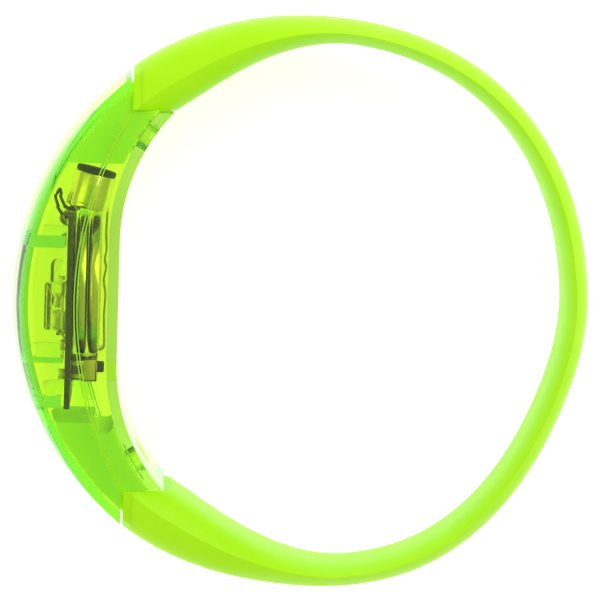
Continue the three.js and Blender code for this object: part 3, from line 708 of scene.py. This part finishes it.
def wire(side):
    """A lead from under the can, looping out and back to its pad on the board."""
    z = MIC_FOOT.z + side * WIRE_SPACING / 2
    out, top = BOARD_LOW.x, BOARD_HIGH.y
    bend = top + 2.2
    reach = math.sqrt((RING_RADIUS - WALL) ** 2 - bend**2) - WIRE_ROOM + out
    route = [
        (MIC_FOOT.x - MIC_RADIUS * 0.45, top + FIT + 0.2), (out - 0.35, top + FIT + 0.4),
        (out - reach * 0.55, top + 1.9), (out - reach * 0.75, top + 3.2), (out - reach, bend),
        (out - reach * 0.75, top + 0.4), (out - FIT - 0.2, top - 1),
    ]
    line = curve_through([(x, y, z) for x, y in route], 12)
    built = bmesh.new()
    tube(built, line[3:-6], WIRE_RADIUS, 14)
    tube(built, line[:5], STRAND_RADIUS, 10, 1)
    tube(built, line[-8:] + [Vector((out, top - 1.3, z))], STRAND_RADIUS, 10, 1)
    blob(built, line[0] + Vector((0, 0.12, 0)), (0.42, 0.2, 0.42), 2)
    blob(built, (out, top - 1.25, z), (0.3, 0.5, 0.45), 2)
    name = "microphone_wire_1" if side < 0 else "microphone_wire_2"
    piece(name + "_lead", built, [insulation, tin, solder], [name])


wire(-1)
wire(1)

# ---- Circuit board and what stands on its outer face ----

FACE_X = BOARD_LOW.x  # the board's outer face
BACK_X = BOARD_HIGH.x  # its inner face
COPPER_OUT = 0.035  # how far copper stands off the board
COPPER_IN = 0.02
TRACE_WIDTH = 0.42
VIA_RADIUS, VIA_HOLE, VIA_HEIGHT, VIA_OUT = 0.45, 0.22, 0.04, 0.015
# Bends of the copper traces, as (Y, Z).
TRACES = [
    [(9.2, 16.2), (6.4, 16.2), (5.4, 15.2), (3.2, 15.2)],
    [(9.2, 17.8), (5.6, 17.8), (3.9, 19.5), (2.8, 19.5)],
    [(9.4, 9.0), (5.6, 9.0), (5.0, 8.4)],
    [(9.4, 10.6), (4.2, 10.6), (2.4, 12.4), (0.9, 12.4)],
    [(9.4, 11.6), (6.2, 11.6), (4.6, 13.2), (1.2, 14.0)],
    [(-0.7, 13.2), (-3.0, 13.2), (-4.6, 14.8), (-6.0, 16.4)],
    [(-7.7, 17.0), (-9.0, 17.0), (-9.9, 16.1), (-10.4, 13.2)],
    [(-7.7, 9.0), (-9.4, 9.0), (-10.6, 10.2), (-10.9, 11.0)],
    [(-6.2, 8.0), (-6.2, 6.0), (-3.0, 3.6), (4.0, 3.6), (9.8, 5.4)],
    [(-12.0, 12.4), (-13.4, 13.8), (-13.4, 20.0), (-4.8, 22.6), (8.0, 22.6), (10.4, 20.4)],
    [(-12.0, 11.6), (-13.6, 10.0), (-13.6, 5.0), (-8.0, 3.9)],
    [(-5.6, 19.6), (-7.2, 21.2), (-9.8, 21.2)],
]
VIAS = [
    (9.2, 16.2), (3.2, 15.2), (2.8, 19.5), (-10.4, 13.2), (9.8, 5.4), (10.4, 20.4),
    (-9.8, 21.2), (-8.0, 3.9), (-13.4, 20.0), (-13.6, 5.0), (4.0, 3.6), (8.0, 22.6),
]


def trace(built, start, end):
    """One straight stretch of copper on the board's outer face."""
    (y0, z0), (y1, z1) = start, end
    low_x, high_x = FACE_X - COPPER_OUT, FACE_X + COPPER_IN
    length = math.hypot(y1 - y0, z1 - z0)
    middle = Vector(((low_x + high_x) / 2, (y0 + y1) / 2, (z0 + z1) / 2))
    half = Vector(((high_x - low_x) / 2, (length + TRACE_WIDTH) / 2, TRACE_WIDTH / 2))
    turn = Matrix.Rotation(math.atan2(z1 - z0, y1 - y0), 3, "X")
    block(built, middle - half, middle + half, 0, 0, turn)


def board():
    """The laminate, the copper traces on its outer face and the vias on both faces."""
    built = bmesh.new()
    block(built, BOARD_LOW, BOARD_HIGH, 0.06)
    piece("board_laminate", built, [board_look], ["circuit_board"])
    built = bmesh.new()
    for line in TRACES:
        for start, end in zip(line, line[1:]):
            trace(built, start, end)
    piece("board_traces", built, [trace_look])
    built = bmesh.new()
    profile = [
        (VIA_HOLE, -VIA_HEIGHT), (VIA_RADIUS, -VIA_HEIGHT), (VIA_RADIUS, VIA_HEIGHT), (VIA_HOLE, VIA_HEIGHT),
    ]
    for y, z in VIAS:
        for x in (FACE_X - VIA_OUT, BACK_X + VIA_OUT):
            ring = bmesh.new()
            skin_ring(ring, profile, (x, y, z), 20)
            merge(built, ring)
    piece("board_vias", built, [copper])


def chip_dome():
    """The poured drop over the control chip, not quite round."""
    low, high = corners("control_chip")
    middle = (low + high) / 2
    half_y, half_z = (high.y - low.y) / 2, (high.z - low.z) / 2
    rise = FACE_X - low.x
    rows = []
    steps, sides = 14, 48
    for i in range(steps + 1):
        lift = math.sin(i / steps * math.pi / 2)
        shrink = max(math.cos(i / steps * math.pi / 2), 0.01)
        row = []
        for j in range(sides):
            angle = math.tau * j / sides
            wobble = 0.97 + 0.02 * math.sin(3 * angle + 0.6) + 0.01 * math.sin(5 * angle)
            y = middle.y + half_y * shrink * wobble * math.cos(angle)
            z = middle.z + half_z * shrink * wobble * math.sin(angle)
            row.append((FACE_X - rise * lift, y, z))
        rows.append(row)
    built = bmesh.new()
    skin(built, rows)
    piece("chip_cover", built, [dome], ["control_chip"], sharp=60)


def chip_part(node, body_look):
    """A chip part with plated ends, soldered to two pads."""
    low, high = corners(node)
    middle_y, width = (low.y + high.y) / 2, high.y - low.y
    end = 0.36
    built = bmesh.new()
    block(built, (low.x, low.y, low.z + end * 0.8), (FACE_X - 0.05, high.y, high.z - end * 0.8), 0.05)
    for z0, z1, edge in ((low.z, low.z + end, low.z), (high.z - end, high.z, high.z)):
        block(built, (low.x - 0.03, low.y - 0.02, z0), (FACE_X - 0.02, high.y + 0.02, z1), 0.06, 1)
        blob(built, (FACE_X, middle_y, edge), (0.32, width * 0.48, 0.3), 2)
    piece(node + "_body", built, [body_look, tin, solder], [node])


board()
chip_dome()
chip_part("centre_resistor", black_body)
chip_part("lower_resistor_1", black_body)
chip_part("lower_resistor_2", black_body)
chip_part("capacitor", tan_body)

# ---- Light-emitting diodes ----

BOND_RADIUS = 0.035
LENS_ROUND = 0.45
LENS_FLANGE = Vector((0, 0.12, 0.12))  # how far the flange stands out past the lens
FLANGE_OUT, FLANGE_IN = 0.75, 0.12  # the flange's two faces off the board


def lens_block():
    """A rounded block of clear epoxy with a flange at its foot."""
    low, high = corners("block_led_lens")
    built = bmesh.new()
    block(built, low, (FACE_X - 0.15, high.y, high.z), LENS_ROUND, 0, None, 5)
    flange_low = Vector((FACE_X - FLANGE_OUT, low.y, low.z)) - LENS_FLANGE
    flange_high = Vector((FACE_X - FLANGE_IN, high.y, high.z)) + LENS_FLANGE
    block(built, flange_low, flange_high, 0.12)
    piece("block_led_epoxy", built, [epoxy], ["block_led_lens"])


def lens_tube():
    """A round-ended rod of clear epoxy with a collar at its foot."""
    low, high = corners("tube_led_lens")
    radius = (high.z - low.z) / 2
    foot = (low.x + radius, low.y, (low.z + high.z) / 2)
    length = high.y - low.y
    body = radius - 0.2
    straight = length - body
    profile = [
        (AXIS_RADIUS, 0), (radius - 0.1, 0), (radius, 0.1),
        (radius, 0.75), (radius - 0.05, 0.85), (body, 0.95),
    ]
    steps = 12
    for i in range(steps + 1):
        turn = i / steps * math.pi / 2
        profile.append((max(body * math.cos(turn), AXIS_RADIUS), straight + body * math.sin(turn)))
    built = bmesh.new()
    lathe(built, profile, foot, (0, 1, 0), 48)
    piece("tube_led_epoxy", built, [epoxy], ["tube_led_lens"])


def lead_frame(node, cup_radius):
    """Cup, post, bond wire, legs and the solder at their feet."""
    low, high = corners(node)
    mid_z = (low.z + high.z) / 2
    width = high.z - low.z
    near, foot = low.x, FACE_X
    length = high.y - low.y
    split = low.y + length * 0.62
    built = bmesh.new()
    depth = foot - FIT - near
    block(built, (near + depth * 0.1, split + 0.35, low.z), (near + depth * 0.6, high.y, high.z), 0.07)
    block(built, (near, low.y + 0.8, low.z), (near + depth * 0.75, split - 0.1, high.z), 0.08)
    for z in (mid_z - width * 0.3, mid_z + width * 0.3):
        block(built, (near + depth * 0.3, low.y, z - 0.14), (near + depth * 0.55, split, z + 0.14), 0.05)
        block(built, (near + depth * 0.3, low.y, z - 0.14), (foot + 0.05, low.y + 0.4, z + 0.14), 0.05)
        blob(built, (foot, low.y + 0.1, z), (0.32, 0.42, 0.34), 1)
    top = Vector((near - 0.02, high.y - length * 0.16, mid_z))
    cup = [
        (AXIS_RADIUS, 0), (cup_radius * 0.6, 0), (cup_radius, 0.22),
        (cup_radius - 0.06, 0.24), (AXIS_RADIUS, 0.08),
    ]
    lathe(built, cup, top, (-1, 0, 0), 28)
    block(built, top - Vector((0.22, 0.17, 0.17)), top + Vector((-0.06, 0.17, 0.17)), 0.02, 2)
    route = [
        top - Vector((0.22, 0, 0)),
        top - Vector((0.5, 0.5, 0)),
        Vector((near - 0.2, split - 0.2, mid_z)),
        Vector((near + 0.03, split - 0.5, mid_z)),
    ]
    tube(built, curve_through(route, 8), BOND_RADIUS, 8, 3)
    piece(node + "_leads", built, [tin, solder, phosphor, copper], [node])


lens_block()
lens_tube()
lead_frame("block_led_frame", 0.75)
lead_frame("tube_led_frame", 0.4)

# ---- Slide switch ----

SWITCH_LOW, SWITCH_HIGH = corners("switch_body")
KNOB_LOW, KNOB_HIGH = corners("switch_knob")
KNOB_HALF = 0.75
KNOB_TRAVEL = 2.0
SWITCH_BASE = 1.1  # the base's height off the body's board side
SWITCH_SHEET = 0.25
RIB_SPACING = 0.3


def switch_shell():
    """A folded steel shell round a plastic base, with a window for the knob, pins and tabs."""
    low, high = SWITCH_LOW, SWITCH_HIGH
    knob = (KNOB_LOW + KNOB_HIGH) / 2
    clear = KNOB_HALF + FIT
    window = (knob.z - clear, knob.z + clear + KNOB_TRAVEL)
    base_top = low.x + SWITCH_BASE
    sheet = SWITCH_SHEET
    inset = Vector((0, 0.15, 0.15))
    built = bmesh.new()
    base_low = Vector((BACK_X + 0.05, low.y, low.z)) + inset
    base_high = Vector((base_top + 0.2, high.y, high.z)) - inset
    block(built, base_low, base_high, 0.08, 1)
    for y0, y1 in ((low.y, low.y + sheet), (high.y - sheet, high.y)):
        block(built, (base_top, y0, low.z), (high.x, y1, high.z), 0.07)
    for z0, z1 in ((low.z, low.z + sheet), (high.z - sheet, high.z)):
        block(built, (base_top, low.y, z0), (high.x, high.y, z1), 0.07)
    for y0, y1 in ((low.y, knob.y - clear), (knob.y + clear, high.y)):
        block(built, (high.x - sheet, y0, low.z), (high.x, y1, high.z), 0.06)
    for z0, z1 in ((low.z, window[0]), (window[1], high.z)):
        block(built, (high.x - sheet, low.y, z0), (high.x, high.y, z1), 0.06)
    inset = Vector((0, 0.3, 0.3))
    core_low = Vector((base_top + 0.2, low.y, low.z)) + inset
    core_high = Vector((high.x - 1.5, high.y, high.z)) - inset
    block(built, core_low, core_high, 0, 1)
    for z in (low.z + 1.5, (low.z + high.z) / 2, high.z - 1.5):
        block(built, (BACK_X + 0.02, low.y - 0.5, z - 0.25), (BACK_X + 0.3, low.y + 0.3, z + 0.25), 0.05, 2)
        blob(built, (BACK_X, low.y - 0.35, z), (0.34, 0.4, 0.4), 3)
    for z in (low.z, high.z):
        for y in (low.y + 0.7, high.y - 0.7):
            block(built, (BACK_X, y - 0.3, z - 0.12), (base_top + 0.3, y + 0.3, z + 0.12), 0.04)
    piece("switch_shell", built, [steel, knob_look, tin, solder], ["switch_body"])


def switch_slider():
    """The knob, with four small ribs for the finger."""
    built = bmesh.new()
    low, high = KNOB_LOW, KNOB_HIGH
    block(built, low, high, 0.16, 0, None, 3)
    for step in (-1.5, -0.5, 0.5, 1.5):
        z = (low.z + high.z) / 2 + step * RIB_SPACING
        block(built, (high.x - 0.1, low.y + 0.12, z - 0.06), (high.x + 0.06, high.y - 0.12, z + 0.06), 0.03)
    piece("switch_slider", built, [knob_look], ["switch_knob"], body="knob")


switch_shell()
switch_slider()

# ---- Case screws ----

SCREW_Y = 22.0
WRIST_FLAT = 8.5
WRIST_END_RADIUS = 26.0
CLIP_ROOM = 0.32  # the clip's leaf to the inside of the wrist wall
WRIST_X = CLIP_HIGH.x + CLIP_ROOM + WALL
SCREW_LEAN = math.asin((SCREW_Y - WRIST_FLAT) / WRIST_END_RADIUS)
HEAD_RECESS, HEAD_HEIGHT, HEAD_RADIUS = 0.35, 1.2, 1.7
SHANK_RADIUS, SHANK_LENGTH = 1.0, 5.2
CORE_RADIUS = 0.76
THREAD_FOOT = 0.74
THREAD_PITCH, STEPS_PER_TURN = 0.62, 24


def cross_recess(top, axis):
    """A cross to cut into a screw's head."""
    built = bmesh.new()
    turn = Matrix.Rotation(math.atan2(axis.y, axis.x), 3, "Z") @ Matrix.Rotation(0.5, 3, "X")
    for size in ((0.75, 0.98, 0.22), (0.75, 0.22, 0.98)):
        half = Vector(size)
        block(built, top - half, top + half, 0.05, 0, turn)
    return linked("cross", in_metres("cross", built))


def thread(built, start, axis):
    """A thread's ridge, wound about the shank, with run-outs at both ends."""
    first, second = across(axis)
    steps = int((SHANK_LENGTH - 0.9) / THREAD_PITCH * STEPS_PER_TURN)
    rows = []
    for i in range(steps + 1):
        angle = math.tau * i / STEPS_PER_TURN
        fade = min(1, i / STEPS_PER_TURN * 2, (steps - i) / STEPS_PER_TURN * 1.5)
        out = first * math.cos(angle) + second * math.sin(angle)
        middle = start + axis * (THREAD_PITCH * i / STEPS_PER_TURN)
        crest = CORE_RADIUS + (SHANK_RADIUS - CORE_RADIUS) * fade
        foot = middle + out * THREAD_FOOT
        rows.append([foot - axis * 0.2, middle + out * crest, foot + axis * 0.2])
    skin(built, rows)


def screw(node, end):
    """A pan-head screw with a cross recess; end is 1 for the upper one and -1 for the lower."""
    face_x = WRIST_X + WRIST_END_RADIUS * (1 - math.cos(SCREW_LEAN))
    axis = Vector((-math.cos(SCREW_LEAN), end * math.sin(SCREW_LEAN), 0))
    top = Vector((face_x, end * SCREW_Y, MIDDLE_Z)) + axis * HEAD_RECESS
    r, h = HEAD_RADIUS, HEAD_HEIGHT
    head = [
        (AXIS_RADIUS, 0.04), (0.5, 0.0), (1.1, 0.05), (1.45, 0.2), (r - 0.05, 0.42), (r, 0.6),
        (r, h - 0.08), (r - 0.08, h), (0.85, h + 0.05), (AXIS_RADIUS, h + 0.05),
    ]
    built = bmesh.new()
    lathe(built, head, top, axis, 64)
    obj = piece(node + "_steel", built, [zinc], [node])
    cutter = cross_recess(top, axis)
    cut(obj, cutter, "DIFFERENCE")
    bpy.data.objects.remove(cutter)
    built = bmesh.new()
    built.from_mesh(obj.data)
    built.transform(Matrix.Scale(1 / MM, 4))
    finish = h + SHANK_LENGTH
    shank = [(AXIS_RADIUS, h), (0.78, h), (0.78, finish - 0.5), (0.5, finish - 0.05), (AXIS_RADIUS, finish)]
    lathe(built, shank, top, axis, 32)
    thread(built, top + axis * (h + 0.35), axis)
    bmesh.ops.recalc_face_normals(built, faces=built.faces)
    built.to_mesh(obj.data)
    built.free()
    obj.data.transform(Matrix.Scale(MM, 4))
    obj.data.shade_smooth()
    obj.data.set_sharp_from_angle(angle=math.radians(38))


screw("upper_screw", 1)
screw("lower_screw", -1)

# ---- Floor, light and camera ----

FLOOR_HALF = 3.0  # metres
FLOOR_Z = -0.0002
floor_mesh = bpy.data.meshes.new("floor")
floor_corners = [(x * FLOOR_HALF, y * FLOOR_HALF, FLOOR_Z) for x, y in ((-1, -1), (1, -1), (1, 1), (-1, 1))]
floor_mesh.from_pydata(floor_corners, [], [(0, 1, 2, 3)])
floor = bpy.data.objects.new("floor", floor_mesh)
bpy.context.scene.collection.objects.link(floor)
floor_look = Look("floor", (0.9, 0.9, 0.9), 0.9)
floor_look.set("Emission Color", (1, 1, 1, 1))
floor_look.set("Emission Strength", 0.55)
floor_mesh.materials.append(floor_look.material)

world = bpy.data.worlds.new("studio")
world.use_nodes = True
world.node_tree.nodes["Background"].inputs["Color"].default_value = (1, 1, 1, 1)
world.node_tree.nodes["Background"].inputs["Strength"].default_value = 0.66
bpy.context.scene.world = world


def softbox(name, place, size, power):
    """A square lamp that faces the origin; place and size are in metres, power in watts."""
    data = bpy.data.lights.new(name, "AREA")
    data.size = size
    data.energy = power
    lamp = bpy.data.objects.new(name, data)
    lamp.location = place
    lamp.rotation_mode = "QUATERNION"
    lamp.rotation_quaternion = (-Vector(place)).to_track_quat("-Z", "Y")
    bpy.context.scene.collection.objects.link(lamp)


softbox("key", (0.3, 0.32, 0.5), 0.5, 1.7)
softbox("fill", (-0.45, 0.0, 0.45), 0.4, 0.7)

CAMERA_DISTANCE = 0.583  # metres
CAMERA_LEAN_UP = math.radians(4.6)
CAMERA_LEAN_LEFT = math.radians(2.1)
CAMERA_ROLL = math.radians(1.7)
PIXELS_PER_MM = 7.08
PHOTO_PIXELS = 600
SENSOR_WIDTH = 36
camera_data = bpy.data.cameras.new("camera")
camera = bpy.data.objects.new("camera", camera_data)
bpy.context.scene.collection.objects.link(camera)
bpy.context.scene.camera = camera
low, high = cad_bounds
target = (low + high) / 2
back = Vector((-math.tan(CAMERA_LEAN_LEFT), math.tan(CAMERA_LEAN_UP), 1)).normalized()
camera.location = target + back * CAMERA_DISTANCE
up = Vector((0, 1, 0))
right = up.cross(back).normalized()
up = back.cross(right)
turned = Matrix.Rotation(CAMERA_ROLL, 3, back)
basis = Matrix((turned @ right, turned @ up, back)).transposed()
camera.rotation_mode = "QUATERNION"
camera.rotation_quaternion = basis.to_quaternion()
camera_data.sensor_width = SENSOR_WIDTH
camera_data.lens = SENSOR_WIDTH * CAMERA_DISTANCE / (PHOTO_PIXELS / PIXELS_PER_MM * MM)
camera_data.clip_start = 0.01
camera_data.clip_end = 20

scene = bpy.context.scene
scene.view_settings.view_transform = "Standard"
scene.cycles.max_bounces = 16
scene.cycles.transmission_bounces = 16
scene.cycles.glossy_bounces = 16
scene.cycles.transparent_max_bounces = 24
scene.cycles.use_denoising = True
scene.cycles.sample_clamp_indirect = 8
